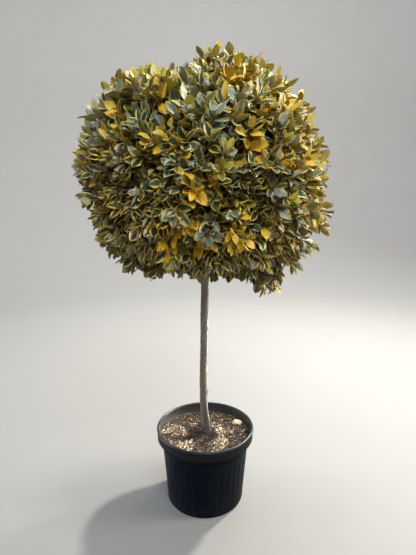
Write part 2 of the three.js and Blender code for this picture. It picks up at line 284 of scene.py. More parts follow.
# The top bough goes on from the stem's end, and the others leave its axis at their forks
def boughCurve(forks, arch, entry):
    foot = Vector((0, 0, forks or crown["forkHeight"]))
    bend = foot.lerp(entry, 0.5)
    if forks:
        bend += upwards * (arch * (entry - foot).length)
    else:
        bend.x = 0
    return foot, bend, entry


def massesOf():
    masses = []
    for name, count, elevation, turn, entryElevation, forks, rise, arch in crown["rings"]:
        for i in range(count):
            azimuth = turn + 360 * i / count
            direction = directionOf(azimuth, elevation)
            entry = onCrown(directionOf(azimuth, entryElevation), crown["entryShare"])
            curve = boughCurve(forks + (i % 2) * rise, arch, entry)
            tip = onCrown(direction, crown["stemTipShare"])
            bend = entry + curveHeading(curve, 1) * (crown["stemBend"] * (tip - entry).length)
            masses.append({
                "name": f"{name}_{i + 1}" if count > 1 else name, "direction": direction,
                "bough": curve, "stem": (entry, bend, tip),
            })
    return masses


# Bark: grey-brown, finely fissured up and down, with pale flecks
def barkMaterial(name, paints, grain, fades=None):
    dark, middle, pale = paints
    material, shader = newMaterial(name, middle, 0.85, 0.3)
    streaks = addNoise(shader, 4.5 * mm, (1, 1, grain), 6, 0.7)
    patches = addNoise(shader, 60 * mm, (1, 1, 0.5), 3)
    flecks = addNoise(shader, 2.2 * mm, (1, 1, 0.7), 2)
    body = addRamp(streaks, [(0.34, dark), (0.52, middle), (0.74, pale)])
    body = addMix(addRange(patches, 0.0, 0.45, 0.42, 0.66), body, dark)
    body = addMix(addRange(flecks, 0.0, 0.7, 0.66, 0.74), body, pale)
    # Painted light pales the stem's top under the crown's shade, and painted shade darkens its foot
    if fades:
        height = addHeight(shader)
        body = addMix(addRange(height, 0.0, 0.5, *fades["paintedLightUnderCrown"]), body, pale)
        body = addMix(addRange(height, 0.75, 0.0, *fades["paintedShadeAtFoot"]), body, dark)
    feed(body, shader.inputs["Base Color"])
    feed(addRange(streaks, 0.95, 0.7), shader.inputs["Roughness"])
    addBump(shader, streaks, 0.8 * mm, 0.7)
    return material


stem = {
    "foot": 0.3215,
    # height, sideways place x and y, radius, all in millimetres as in the part's source
    "stations": [
        (323.3, 10, 0, 24), (347, 6, 0, 20), (440, -5, 1, 18.5), (580, -8, 2, 17.6), (760, -5, 1, 17.2),
        (1020, 0, 0, 17.4), (1120, 1, 0, 19), (1200, 0, 0, 16), (1262, 0, 0, 11),
    ],
    "rounding": 0.03,  # of the corners at the stations, up and down
    "sides": 56,
    "steps": 260,
    "ribs": {"count": 3, "depth": 0.035, "twist": 0.09},
    # depth of the bark's ripples, furrows and cracks, and how close they stand round the stem and up it
    "ripples": [(0.9 * mm, 1.3, 22), (0.55 * mm, 6.5, 26), (0.33 * mm, 15, 75)],
    # old pruning scars: height, azimuth, swelling, width
    "scars": [
        (0.524, 0, 4.2 * mm, 11 * mm), (0.63, 215, 1.8 * mm, 9 * mm), (0.735, 95, 2.2 * mm, 9 * mm),
        (0.81, 300, 1.8 * mm, 8 * mm), (0.9, 180, 1.6 * mm, 9 * mm), (0.985, 285, 1.6 * mm, 10 * mm),
        (1.055, 250, 2.2 * mm, 10 * mm), (0.45, 140, 2.0 * mm, 9 * mm),
    ],
    "scarHollow": 0.55,  # in the middle of a scar, against its swelling
    "grain": 0.32,
    # painted light on the stem under the crown, and painted shade at its foot:
    "fades": {"paintedLightUnderCrown": (0.7, 1.15), "paintedShadeAtFoot": (0.35, 0.6)},  # heights where each begins and ends
    "paints": (light(56, 50, 43), light(89, 83, 73), light(158, 150, 134)),
}
boughs = {
    "root": 9.5 * mm, "tip": 5.5 * mm, "sides": 18, "steps": 26,
    "collar": {"swell": 0.45, "place": 0.05, "width": 0.06},  # shares of the radius and the length
    "ripple": (0.5 * mm, 2.5, 30),
    "grain": 0.8,
    "paints": (light(52, 42, 32), light(92, 80, 64), light(132, 118, 92)),
}


def stationValues(heights, column):
    knots = np.array(stem["stations"], float)
    return np.interp(heights, knots[:, 0] * mm, knots[:, column] * mm)


# The same values with the corners between stations rounded off
def smoothValues(heights, column):
    offsets = np.linspace(-stem["rounding"], stem["rounding"], 7)
    top, foot = stem["stations"][-1][0] * mm, stem["stations"][0][0] * mm
    near = np.clip(heights[:, None] + offsets[None, :], foot, top)
    return stationValues(near, column).mean(axis=1)


def stemRelief(path, turns):
    ribs, heights, relief = stem["ribs"], path[:, 2], np.zeros((len(path), len(turns)))
    radii = stationValues(heights, 3)
    for i, z in enumerate(heights):
        scars = [scar for scar in stem["scars"] if abs(z - scar[0]) <= 3 * scar[3]]
        for j, turn in enumerate(turns):
            way = Vector((math.cos(turn), math.sin(turn), 0))
            relief[i, j] = ribs["depth"] * radii[i] * math.sin(ribs["count"] * turn + z / ribs["twist"])
            for depth, around, along in stem["ripples"]:
                relief[i, j] += depth * noise.noise(way * around + upwards * z * along)
            for height, azimuth, swelling, width in scars:
                across = radii[i] * math.remainder(turn - math.radians(azimuth), 2 * math.pi)
                far = math.hypot(across, z - height) / width
                hollow = stem["scarHollow"] * math.exp(-((3 * far) ** 2))
                relief[i, j] += swelling * (math.exp(-(far**2)) - hollow)
    return relief


def boughRelief(path, turns):
    depth, around, along = boughs["ripple"]
    ways = [Vector((math.cos(turn), math.sin(turn), 0)) * around for turn in turns]
    return np.array([[depth * noise.noise(way + Vector(point) * along) for way in ways] for point in path])


def buildTrunk(masses):
    greyBark = barkMaterial("greyBark", stem["paints"], stem["grain"], stem["fades"])
    heights = np.linspace(stem["foot"], stem["stations"][-1][0] * mm, stem["steps"] + 1)
    path = np.stack([smoothValues(heights, 1), smoothValues(heights, 2), heights], axis=1)
    limb = tubeShape(path, smoothValues(heights, 3), stem["sides"], stemRelief, level=True)
    makePiece("stemBark", [limb], [greyBark], ["stem"])

    youngBark = barkMaterial("youngBark", boughs["paints"], boughs["grain"])
    collar, shares = boughs["collar"], np.linspace(0, 1, boughs["steps"] + 1)
    swell = 1 + collar["swell"] * np.exp(-(((shares - collar["place"]) / collar["width"]) ** 2))
    radii = between(boughs["root"], boughs["tip"], shares) * swell
    paths = [curvePath(mass["bough"], boughs["steps"]) for mass in masses]
    limbs = [tubeShape(path, radii, boughs["sides"], boughRelief) for path in paths]
    makePiece("boughBark", limbs, [youngBark], ["bough_" + mass["name"] for mass in masses])


# Twigs: the source's first twigs, and finer shoots on them, whose ends lie evenly over the crown
twigs = {
    "seed": 20417,
    # radii in millimetres, and the share of a twig's length where its leaves begin
    "first": {"count": 130, "root": 3.6, "tip": 1.9, "sides": 6, "steps": 7, "leaves": 5, "begin": 0.45},
    "shoots": {"count": 1000, "root": 2.5, "tip": 1.5, "sides": 5, "steps": 6, "leaves": 11, "begin": 0.22},
    "inner": {"count": 360, "root": 1.8, "tip": 1.0, "sides": 4, "steps": 5, "leaves": 7, "begin": 0.22},
    "stem": {"root": 5.0, "tip": 3.5, "sides": 8, "steps": 10},
    "firstStarts": (0.62, 0.96),  # along the mass's stem
    "firstEnds": (0.76, 0.83),  # share of the way to the outline
    "shootStarts": (0.3, 0.92),  # along the first twig
    "shootEnds": (0.775, 0.92),
    "innerEnds": (0.62, 0.76),
    "bow": 14 * mm,
    "lift": 0.5,  # how far a shoot turns up before it ends, less on the low side
    "sag": 0.25,  # how far the lowest shoots turn down
    "hook": 0.42,  # of a shoot's length, after its bend
    "turn": 0.4,  # of the shoots' even places against those of the first twigs
    "jitter": 0.035,
    # long shoots that stand out of the crown: azimuth, elevation, share
    "leaders": [
        (355, 84, 0.945), (2, 77, 0.935), (0, 63, 0.96), (1, 54, 0.96), (180, 66, 0.945), (180, 54, 0.955),
        (180, 10, 0.965), (184, 4, 0.95), (0, -17, 0.985), (357, -24, 0.98), (2, 19, 0.96),
        (323, -56, 0.93), (328, -53, 0.92), (3, 0, 0.965), (358, 9, 0.965), (1, -38, 0.955),
        (4, -8, 0.955), (90, 62, 0.95), (125, 35, 0.95), (60, 6, 0.95), (100, -28, 0.95), (48, 44, 0.95),
        (215, -12, 0.95), (150, -40, 0.95), (265, 25, 0.94), (290, 2, 0.94),
    ],
    "colour": light(124, 84, 58),
}


def evenDirections(count, turn):
    golden = math.pi * (3 - math.sqrt(5))
    found = []
    for i in range(count):
        z = 1 - (2 * i + 1) / count
        flat = math.sqrt(1 - z * z)
        found.append(Vector((flat * math.cos(golden * i + turn), flat * math.sin(golden * i + turn), z)))
    return found


def nearest(choices, direction):
    return max(choices, key=lambda choice: choice["direction"].dot(direction))


def growTwigs(masses, rng):
    grown = []
    for direction in evenDirections(twigs["first"]["count"], 0):
        mass = nearest(masses, direction)
        start = curvePoint(mass["stem"], rng.uniform(*twigs["firstStarts"]))
        end = onCrown(direction, rng.uniform(*twigs["firstEnds"]))
        bend = start.lerp(end, 0.5) + mass["direction"] * twigs["bow"]
        grown.append({"mass": mass, "direction": direction, "curve": (start, bend, end), "kind": "first"})
    return grown


# A shoot leaves its twig, turns towards the light and ends near the outline
def growShoot(firsts, direction, share, kind, rng):
    first = nearest(firsts, direction)
    start = curvePoint(first["curve"], rng.uniform(*twigs["shootStarts"]))
    end = onCrown(direction, share)
    lift = twigs["lift"] * smoothStep(direction.z, -0.7, 0.5)
    lift -= twigs["sag"] * smoothStep(-direction.z, 0.0, 0.8)
    heading = (direction + upwards * lift).normalized()
    bend = end - heading * (twigs["hook"] * (end - start).length)
    return {"mass": first["mass"], "direction": direction, "curve": (start, bend, end), "kind": kind}


def growShoots(firsts, rng):
    grown = []
    wander = twigs["jitter"]
    for kind, ends in (("shoots", twigs["shootEnds"]), ("inner", twigs["innerEnds"])):
        for direction in evenDirections(twigs[kind]["count"], twigs["turn"]):
            moved = direction + Vector([rng.uniform(-wander, wander) for _ in range(3)])
            grown.append(growShoot(firsts, moved.normalized(), rng.uniform(*ends), kind, rng))
    for azimuth, elevation, share in twigs["leaders"]:
        grown.append(growShoot(firsts, directionOf(azimuth, elevation), share, "shoots", rng))
    return grown


# Leaves: a blade of two surfaces that meet at its edge, in a green middle and a gold margin.
# Shares along a blade are of its length, and those across it or up from it are of half its width
leaf = {
    "shapes": 8,  # of each kind of margin
    "stations": (0.07, 0.3, 0.6, 0.86),
    "halfWidths": (0.24, 0.92, 1.0, 0.58),
    "petiole": 0.08,
    "fold": (0.1, 0.46),  # rise of the edges
    "curl": (-0.05, 0.6),  # fall of the tip
    "wave": 0.2,
    "sideBend": 0.25,
    "tipTurn": (-0.08, 0.02),
    "margins": {"broad": (0.48, 0.78), "thin": (0.68, 0.88)},  # where the green ends
    "keel": 0.07,
    "lengths": (42 * mm, 74 * mm),
    "lastSize": 0.8,  # of the last leaf on a shoot
    "innerSize": 1.12,  # of the leaves on inner shoots
    "slimness": (0.44, 0.62),
    "turnStep": math.radians(137.5),
    "spread": (1.25, 0.5),  # radians from the shoot, at its root and its tip
    "spreadStray": 0.25,
    "droop": (0.05, 0.3),  # high in the crown and low
    "droopStray": (-0.15, 0.2),
    "roll": 0.55,
    "stray": 0.32,  # how far a leaf's face strays from the light
    "lift": 0.35,  # how far a leaf's face turns up from straight outwards
    "room": 12 * mm,
    "tries": 5,
    "veins": {"count": 50, "slant": 0.5, "height": 0.4},
}


def bladeShape(rng, margin):
    fold, curl = rng.uniform(*leaf["fold"]), rng.uniform(*leaf["curl"])
    bendAside = rng.uniform(-leaf["sideBend"], leaf["sideBend"])
    top, under = [(-leaf["petiole"], 0, 0)], [(-leaf["petiole"], 0, -0.02)]
    for x, half in zip(leaf["stations"], leaf["halfWidths"]):
        middle, fall = bendAside * x * x, curl * x * x
        edges = [fold * half + leaf["wave"] * half * rng.uniform(-1, 1) for _ in range(2)]
        greens = [rng.uniform(*margin) for _ in range(2)]
        row = [
            (-half, edges[0]), (-half * greens[0], fold * half * greens[0] * 0.9), (0, 0),
            (half * greens[1], fold * half * greens[1] * 0.9), (half, edges[1]),
        ]
        top += [(x, middle + y, z - fall) for y, z in row]
        under += [(x, middle + y, z - fall) for y, z in (row[0], (0, -leaf["keel"]), row[-1])]
    end = (1, bendAside * 1.1, rng.uniform(*leaf["tipTurn"]) - curl)
    return np.array(top + [end] + under + [end])


# A blade's triangles, and what each shows: 0 for the green, 1 for the margin and 2 for the underside.
# Both surfaces have a root, a row of points at each station and a tip
def bladeCorners():
    stations, root, corners, parts = len(leaf["stations"]), 0, [], []
    for columns in ((1, 0, 0, 1), (2, 2)):
        wide = len(columns) + 1
        tip = root + 1 + wide * stations
        for column, part in enumerate(columns):
            first, last = root + 1 + column, tip - wide + column
            strip = [(root, first, first + 1)]
            for a in range(first, last, wide):
                strip += [(a, a + wide, a + wide + 1), (a, a + wide + 1, a + 1)]
            strip.append((last, tip, last + 1))
            corners += [(a, c, b) if part == 2 else (a, b, c) for a, b, c in strip]
            parts += [part] * len(strip)
        root = tip + 1
    return np.array(corners), np.array(parts)


leafPaints = {
    # the slate greens are leaf green with a painted sky sheen, dealt to high shoots
    "greens": paintsOf(
        shadeGreen=(24, 31, 19), deepGreen=(31, 46, 33), leafGreen=(47, 64, 47), slateGreen=(80, 96, 92),
        slateGrey=(116, 131, 126), oliveGreen=(98, 98, 44), sunlitOlive=(142, 134, 54),
    ),
    "margins": paintsOf(
        shadeMargin=(118, 92, 34), paleMargin=(198, 187, 118), strawMargin=(192, 169, 74),
        goldMargin=(198, 154, 34), deepGoldMargin=(181, 136, 20),
    ),
    "golds": paintsOf(goldLeaf=(190, 145, 20), warmGoldLeaf=(181, 137, 17), paleGoldLeaf=(188, 154, 48)),
    "undersides": paintsOf(
        oliveUnderside=(138, 128, 66), silverUnderside=(150, 142, 98), brownUnderside=(118, 104, 60),
        sunlitUnderside=(184, 162, 56),
    ),
    # roughness, shine and depth of the veins
    "finishes": {
        "greens": (0.33, 0.5, 0.4 * mm), "margins": (0.4, 0.45, 0.3 * mm),
        "golds": (0.46, 0.4, 0.3 * mm), "undersides": (0.6, 0.3, 0.25 * mm),
    },
    # how often each green and each margin comes, by where a shoot stands, with painted light and shade in
    # them
    "greenShares": {
        # low shoots: dark greens, partly painted shade
        "low": (2, 5, 3.5, 0.3, 0, 0.8, 0.2),
        # high shoots: slate greens with a painted sky sheen
        "high": (0.3, 1.2, 2.5, 5, 5, 0.6, 0.2),
        # at the crown's top: olive greens and sunlit olive, painted sunlight
        "outer": (0, 0.5, 1.5, 2.5, 1.5, 4, 4),
        "sunny": (0, 0.4, 1.2, 1.4, 0.4, 4, 7),
        "shaded": (6, 6, 2, 0, 0, 0, 0),
    },
    "marginShares": {
        "low": (1, 0.6, 1.5, 4, 3),
        "high": (0, 5, 4, 1.2, 0.3),
        "sunny": (0, 1, 3, 6, 1),
        "shaded": (4, 0.5, 1, 2, 3),
    },
    # where those places are: how far their edges stray, and where each begins and is full
    "edges": {
        "sunny": (0.12, 0.6, 0.88), "shaded": (0.08, 0.8, 0.96), "high": (0.25, -0.3, 0.45),
        # 'outer' stands for the crown's top, by height, where the leaves take painted sunlight
        "outer": (0.2, 0.45, 0.85),
    },
    "thinShares": (0.15, 0.75),  # how often margins are thin, low and high
    "neighbours": {"greens": 0.35, "margins": 0.3},  # share of leaves with a paint next in the list
    "goldChance": 0.9,  # that a spray is gold where gold sprays stand
    "goldShare": 0.72,  # share of a gold spray's leaves that are gold all through
    "ownGold": 0.7,  # share of those in the spray's own gold
    # gold leaves are the plant's own, and the extra ones towards the sun are painted sunlight
    "loneGold": (0.04, 0.22),  # share of other leaves that are gold, away from the sun and towards it
    "goldMix": {"gold": (5, 3, 2), "green": (1, 4, 4), "margin": (0, 0, 0, 3, 2), "under": (3, 2, 1, 4)},
    # sprays that are gold all through, where the photo shows them, and as many on the far side
    "goldSprays": [
        (253, 7), (259, 13), (226, 10), (268, -5), (277, -5), (283, -11), (271, -14), (265, -23), (274, -38),
        (280, -66), (304, 10), (310, 4), (295, 13), (295, 61), (292, 43), (229, 28), (229, 16), (253, 28),
        (202, 64), (292, 22), (313, 28), (352, 22), (253, -32), (247, -41), (289, -29), (352, -56),
        (0, 78), (20, 10), (48, -8), (70, 28), (95, -20),
        (110, 12), (132, 40), (150, -4), (178, 18), (200, -30), (30, -40), (0, 34), (85, 2), (120, -45),
        (165, -40), (60, 60), (190, 0), (104, 55),
    ],
    "goldReach": 0.9962,  # how near to one of those directions a gold spray is, as a cosine
}


# A leaf's surface: fine blisters between side veins, which run forwards from the middle
def leafMaterial(name, colour, roughness, shine, depth):
    material, shader = newMaterial(name, colour, roughness, shine)
    layout, veins = addNode(shader, "UVMap", {"uv_map": "bladeLayout"})["UV"], leaf["veins"]
    parts = addNode(shader, "SeparateXYZ", {}, layout)
    across = addMaths("ABSOLUTE", addMaths("SUBTRACT", parts["Y"], 0.5))
    place = addMaths("SUBTRACT", parts["X"], addMaths("MULTIPLY", across, veins["slant"]))
    waves = addMaths("SINE", addMaths("MULTIPLY", place, veins["count"]))
    blisters = addNoise(shader, 3 * mm, detail=2)
    heights = addMaths("ADD", addMaths("MULTIPLY", waves, veins["height"]), blisters)
    addBump(shader, heights, depth, 0.6)
    return material


def leafMaterials():
    made, places = [], {}
    for family, finish in leafPaints["finishes"].items():
        places[family] = len(made)
        made += [leafMaterial(name, colour, *finish) for name, colour in leafPaints[family]]
    return made, places


def weighted(rng, weights):
    return rng.choices(range(len(weights)), weights)[0]


# Where the photo's sun shines through the crown's edge and leaves look lighter and yellower,
# and where the crown shades itself, low on the left and under the right
sunlitEdge = directionOf(-13, 26)
shadySides = (directionOf(212, -14), directionOf(325, -42))


# How far a shoot stands in one of the places, from 0 to 1
def standing(place, value, rng):
    stray, begin, full = leafPaints["edges"][place]
    return smoothStep(value + rng.uniform(-stray, stray), begin, full)


# The shares for low shoots, with those of each other place mixed in as far as a shoot stands there
def mixedShares(shares, places):
    mixed = np.array(shares["low"])
    for place, amount in places.items():
        if place in shares:
            mixed = mixed * (1 - amount) + np.array(shares[place]) * amount
    return mixed


# One shoot's colours, as places in the lists of paints. Slate greens with a painted sky sheen and thin pale
# margins stand high, dark greens, partly painted shade, and broad gold margins low; the crown's top takes
# painted sunlight, and inner shoots are painted dark as shade but painted sunlit where the sun comes in
def sprayLook(shoot, rng):
    direction, outermost = shoot["direction"], shoot["kind"] == "shoots"
    nearGold = max(direction.dot(directionOf(*spot)) for spot in leafPaints["goldSprays"])
    if outermost and nearGold > leafPaints["goldReach"] and rng.random() < leafPaints["goldChance"]:
        picks = {part: weighted(rng, shares) for part, shares in leafPaints["goldMix"].items()}
        return {"kind": "gold", "sunny": 0, **picks}
    sunny = standing("sunny", direction.dot(sunlitEdge), rng)
    shaded = max(standing("shaded", direction.dot(way), rng) for way in shadySides)
    if not outermost:
        if rng.random() < 0.8 * sunny:
            return {"kind": "broad", "sunny": 0, "green": 5, "margin": 3, "under": 3}
        return {"kind": "broad", "sunny": 0, "green": rng.choice((0, 0, 1)), "margin": 0, "under": 2}
    high, outer = standing("high", direction.z, rng), standing("outer", direction.z, rng)
    places = {"high": high, "outer": outer, "sunny": sunny, "shaded": shaded}
    thinShare = between(*leafPaints["thinShares"], high) * (1 - 0.6 * sunny)
    return {
        "kind": "thin" if rng.random() < thinShare else "broad",
        "sunny": sunny,
        "green": weighted(rng, mixedShares(leafPaints["greenShares"], places)),
        "margin": weighted(rng, mixedShares(leafPaints["marginShares"], places)),
        "under": weighted(rng, (4, 2.5, 1.2, between(0.5, 12, outer))),
    }


def leafPose(heading, outward, spread, turn, droop, roll, stray):
    first = heading.cross(Vector((0.3, 0.2, 1))).normalized()
    across = Matrix.Rotation(turn, 3, heading) @ first
    along = heading * math.cos(spread) + across * math.sin(spread)
    along.z -= droop
    along.normalize()
    towards = outward + upwards * leaf["lift"] + stray
    face = (towards - along * towards.dot(along)).normalized()
    return along, Matrix.Rotation(roll, 3, along) @ face


# Whether a leaf's middle keeps its distance from those taken, which are kept in cells as wide as that
def hasRoom(taken, point):
    cell = [math.floor(v / leaf["room"]) for v in point]
    for step in itertools.product((-1, 0, 1), repeat=3):
        near = taken.get(tuple(c + s for c, s in zip(cell, step)), ())
        if any((other - point).length < leaf["room"] for other in near):
            return False
    taken.setdefault(tuple(cell), []).append(point)
    return True


def growLeaves(shoot, taken, rng):
    look, direction, curve = sprayLook(shoot, rng), shoot["direction"], shoot["curve"]
    twig, low = twigs[shoot["kind"]], smoothStep(-direction.z, -0.1, 0.8)
    sizeShare = leaf["innerSize"] if shoot["kind"] == "inner" else 1
    firstTurn = rng.uniform(0, 2 * math.pi)
    leaves = []
    for k in range(twig["leaves"]):
        reached = k / (twig["leaves"] - 1)
        station = between(twig["begin"], 1, reached**0.85)
        heading = curveHeading(curve, station)
        root = curvePoint(curve, station)
        spread = between(*leaf["spread"], reached) + rng.uniform(-leaf["spreadStray"], leaf["spreadStray"])
        droop = between(*leaf["droop"], low) + rng.uniform(*leaf["droopStray"])
        length = rng.uniform(*leaf["lengths"]) * sizeShare * between(1, leaf["lastSize"], reached**3)
        width = length * rng.uniform(*leaf["slimness"])
        for attempt in range(leaf["tries"]):
            turn = firstTurn + leaf["turnStep"] * k + attempt * 2 * math.pi / leaf["tries"]
            roll = rng.uniform(-leaf["roll"], leaf["roll"])
            stray = Vector([rng.gauss(0, leaf["stray"]) for _ in range(3)])
            along, face = leafPose(heading, direction, spread, turn, droop, roll, stray)
            if hasRoom(taken, root + along * (0.6 * length)):
                leaves.append({"root": root, "along": along, "face": face, "length": length, "width": width,
                               "look": look, "shape": rng.randrange(leaf["shapes"])})
                break
    return leaves


# A paint's place among the materials, or now and then that of its neighbour
def nearPaint(family, place, places, rng):
    if rng.random() < leafPaints["neighbours"][family]:
        place = min(max(place + rng.choice((-1, 1)), 0), len(leafPaints[family]) - 1)
    return places[family] + place


# The materials of one leaf's green, margin and underside
def leafLooks(one, places, rng):
    look = one["look"]
    under = places["undersides"] + look["under"]
    if look["kind"] == "gold" and rng.random() < leafPaints["goldShare"]:
        gold = places["golds"] + (look["gold"] if rng.random() < leafPaints["ownGold"] else rng.randrange(3))
        return gold, gold, under
    # more lone gold leaves towards the sun: painted sunlight
    if rng.random() < between(*leafPaints["loneGold"], look["sunny"]):
        gold = places["golds"] + rng.randrange(3)
        return gold, gold, under
    green = nearPaint("greens", look["green"], places, rng)
    return green, nearPaint("margins", look["margin"], places, rng), under


def makeLeaves(name, leaves, shapes, materials, places, nodes, rng):
    def column(key):
        return np.array([one[key] for one in leaves])

    corners, parts = bladeCorners()
    blades = np.array([shapes.get(one["look"]["kind"], shapes["broad"])[one["shape"]] for one in leaves])
    along, face = column("along"), column("face")
    side = np.cross(face, along)
    half = column("width")[:, None, None] / 2
    x = (blades[:, :, :1] + leaf["petiole"]) * column("length")[:, None, None]
    points = column("root")[:, None] + along[:, None] * x
    points = points + side[:, None] * (blades[:, :, 1:2] * half) + face[:, None] * (blades[:, :, 2:] * half)
    steps = np.arange(len(leaves))[:, None, None] * blades.shape[1]
    looks = np.array([leafLooks(one, places, rng) for one in leaves])[:, parts]
    layout = np.stack([blades[:, :, 0], blades[:, :, 1] * 0.5 + 0.5], axis=-1)
    blade = points.reshape(-1, 3), (corners[None] + steps).reshape(-1, 3)
    makePiece(name, [blade], materials, nodes, looks.ravel(), layout.reshape(-1, 2))


def scurfyTwig():
    material, shader = newMaterial("scurfyTwig", twigs["colour"], 0.75, 0.35)
    addBump(shader, addNoise(shader, 1.6 * mm, detail=3), 0.3 * mm, 0.7)
    return material


def twigShape(kind, curve):
    twig = twigs[kind]
    radii = np.linspace(twig["root"] * mm, twig["tip"] * mm, twig["steps"] + 1)
    return tubeShape(curvePath(curve, twig["steps"]), radii, twig["sides"])


def buildCrown(masses):
    rng = random.Random(twigs["seed"])
    firsts = growTwigs(masses, rng)
    shoots = growShoots(firsts, rng) + firsts
    shapes = {
        kind: [bladeShape(rng, margin) for _ in range(leaf["shapes"])]
        for kind, margin in leaf["margins"].items()
    }
    materials, places = leafMaterials()
    twigMaterial, taken = scurfyTwig(), {}
    for shoot in shoots:
        shoot["leaves"] = growLeaves(shoot, taken, rng)
    print("leaves grown:", sum(len(shoot["leaves"]) for shoot in shoots))
    for mass in masses:
        own = [shoot for shoot in shoots if shoot["mass"] is mass]
        leaves, nodes = [one for shoot in own for one in shoot["leaves"]], ["foliage_" + mass["name"]]
        makeLeaves("leaves_" + mass["name"], leaves, shapes, materials, places, nodes, rng)
        curves = [("stem", mass["stem"])] + [(shoot["kind"], shoot["curve"]) for shoot in own]
        limbs = [twigShape(kind, curve) for kind, curve in curves]
        makePiece("twigs_" + mass["name"], limbs, [twigMaterial], nodes)


# Pot: a black nursery tub with a rolled lip, a deep skirt that hangs from it and shallow flutes
pot = {
    "height": 358 * mm, "rimRadius": 228 * mm, "rimRoll": 6.5 * mm,
    "skirtFoot": 308 * mm, "skirtRadius": 225 * mm, "skirtEdge": 1.6 * mm, "mouthRadius": 213 * mm,
    "stepFoot": 307 * mm, "stepRise": 6 * mm, "stepLift": 2 * mm,
    "bodyTopRadius": 205 * mm, "bodyFootRadius": 181 * mm,
    "baseRadius": 173 * mm, "baseCorner": 20 * mm, "wall": 3 * mm, "floor": 5 * mm,
    "sides": 288,
    "flutes": 36,
    "fluteDepth": 1.1 * mm,
    "fluteFoot": (22 * mm, 40 * mm),  # heights between which the flutes begin
    "fluteTop": (228 * mm, 246 * mm),  # and end
    "dent": 1.4 * mm,  # how far the tub is out of round
    "neck": 223.5 * mm,  # radius just under the lip
    "ringHeight": 262 * mm,  # a second, smaller step
    "ringDepth": 1.8 * mm,
    "black": light(3, 9, 18), "worn": light(12, 16, 22), "dust": light(44, 42, 40),
    # the lip's colour is a painted sky sheen on the rolled lip
    "lip": light(26, 29, 34), "band": light(22, 23, 25), "inside": light(50, 50, 48),
}


def potBodyRadius(z):
    share = (z - pot["baseCorner"]) / (pot["stepFoot"] - pot["baseCorner"])
    return between(pot["bodyFootRadius"], pot["bodyTopRadius"], share)


# The outside from the base up to the step, with the rounded corner and the small step on the way
def tubProfile():
    base, corner, ring = pot["baseRadius"], pot["baseCorner"], pot["ringHeight"]
    profile = [(base - 4 * mm, 0), (base, 0)]
    for a in np.linspace(0, math.pi / 2, 5)[1:]:
        radius = between(base, potBodyRadius(corner), math.sin(a))
        profile.append((radius, corner * (1 - math.cos(a))))
    for z in np.linspace(corner + 8 * mm, ring - 4 * mm, 12):
        profile.append((potBodyRadius(z) - pot["ringDepth"] * 0.5, z))
    profile += [(potBodyRadius(ring), ring), (potBodyRadius(ring) + 0.6 * mm, ring + 3 * mm)]
    return profile + [(potBodyRadius(z), z) for z in np.linspace(ring + 10 * mm, pot["stepFoot"], 4)]


# Behind the skirt, round its lower edge and up to the neck
def skirtProfile():
    lipMiddle, foot = pot["height"] - pot["rimRoll"], pot["skirtFoot"]
    skirt, edge = pot["skirtRadius"], pot["skirtEdge"]
    hollow, behind = skirt - pot["wall"], pot["mouthRadius"] + pot["wall"]
    lipFoot = lipMiddle - pot["rimRoll"]
    return [
        (behind, pot["stepFoot"] + pot["stepRise"]), (behind + 1 * mm, lipFoot),
        (hollow, lipFoot), (hollow, foot + 0.5 * mm), (hollow + 0.5 * mm, foot),
        (skirt - edge, foot), (skirt - 0.3 * edge, foot + 0.3 * edge), (skirt, foot + edge),
        (skirt - 0.4 * mm, foot + 20 * mm), (pot["neck"], lipMiddle - 9 * mm),
    ]


def lipProfile():
    rim, roll, middle = pot["rimRadius"], pot["rimRoll"], pot["height"] - pot["rimRoll"]
    profile = [(pot["neck"] + 0.3 * mm, middle - 6 * mm), (rim - 1.4 * mm, middle - 3.6 * mm)]
    for degrees in range(0, 181, 20):
        a = math.radians(degrees)
        profile.append((rim - roll + roll * math.cos(a), middle + roll * math.sin(a)))
    return profile


def insideProfile():
    wall, corner = pot["wall"], pot["baseCorner"]
    return [
        (pot["rimRadius"] - 2 * pot["rimRoll"] - 0.3 * mm, pot["height"] - 14 * mm),
        (pot["mouthRadius"], compost["edge"]),
        (pot["bodyTopRadius"] - wall, pot["stepFoot"] + pot["stepLift"]),
        (potBodyRadius(0.15) - wall, 0.15),
        (potBodyRadius(corner) - wall, corner + pot["floor"]),
        (pot["baseRadius"] - wall, pot["floor"]),
    ]


def potFlutes(path, turns):
    heights, onTub = path[:, 2], np.arange(len(path)) < len(tubProfile())
    begun, ended = smoothStep(heights, *pot["fluteFoot"]), smoothStep(heights, *pot["fluteTop"])
    wave = np.clip(0.35 + np.cos(turns * pot["flutes"]), 0, 1)
    dent = np.array([noise.noise(Vector((math.cos(t) * 1.4, math.sin(t) * 1.4, 3))) for t in turns])
    wobble = pot["dent"] * dent[None, :] * smoothStep(heights, 0.02, 0.2)[:, None]
    return -pot["fluteDepth"] * (begun * (1 - ended) * onTub)[:, None] * wave[None, :] + wobble


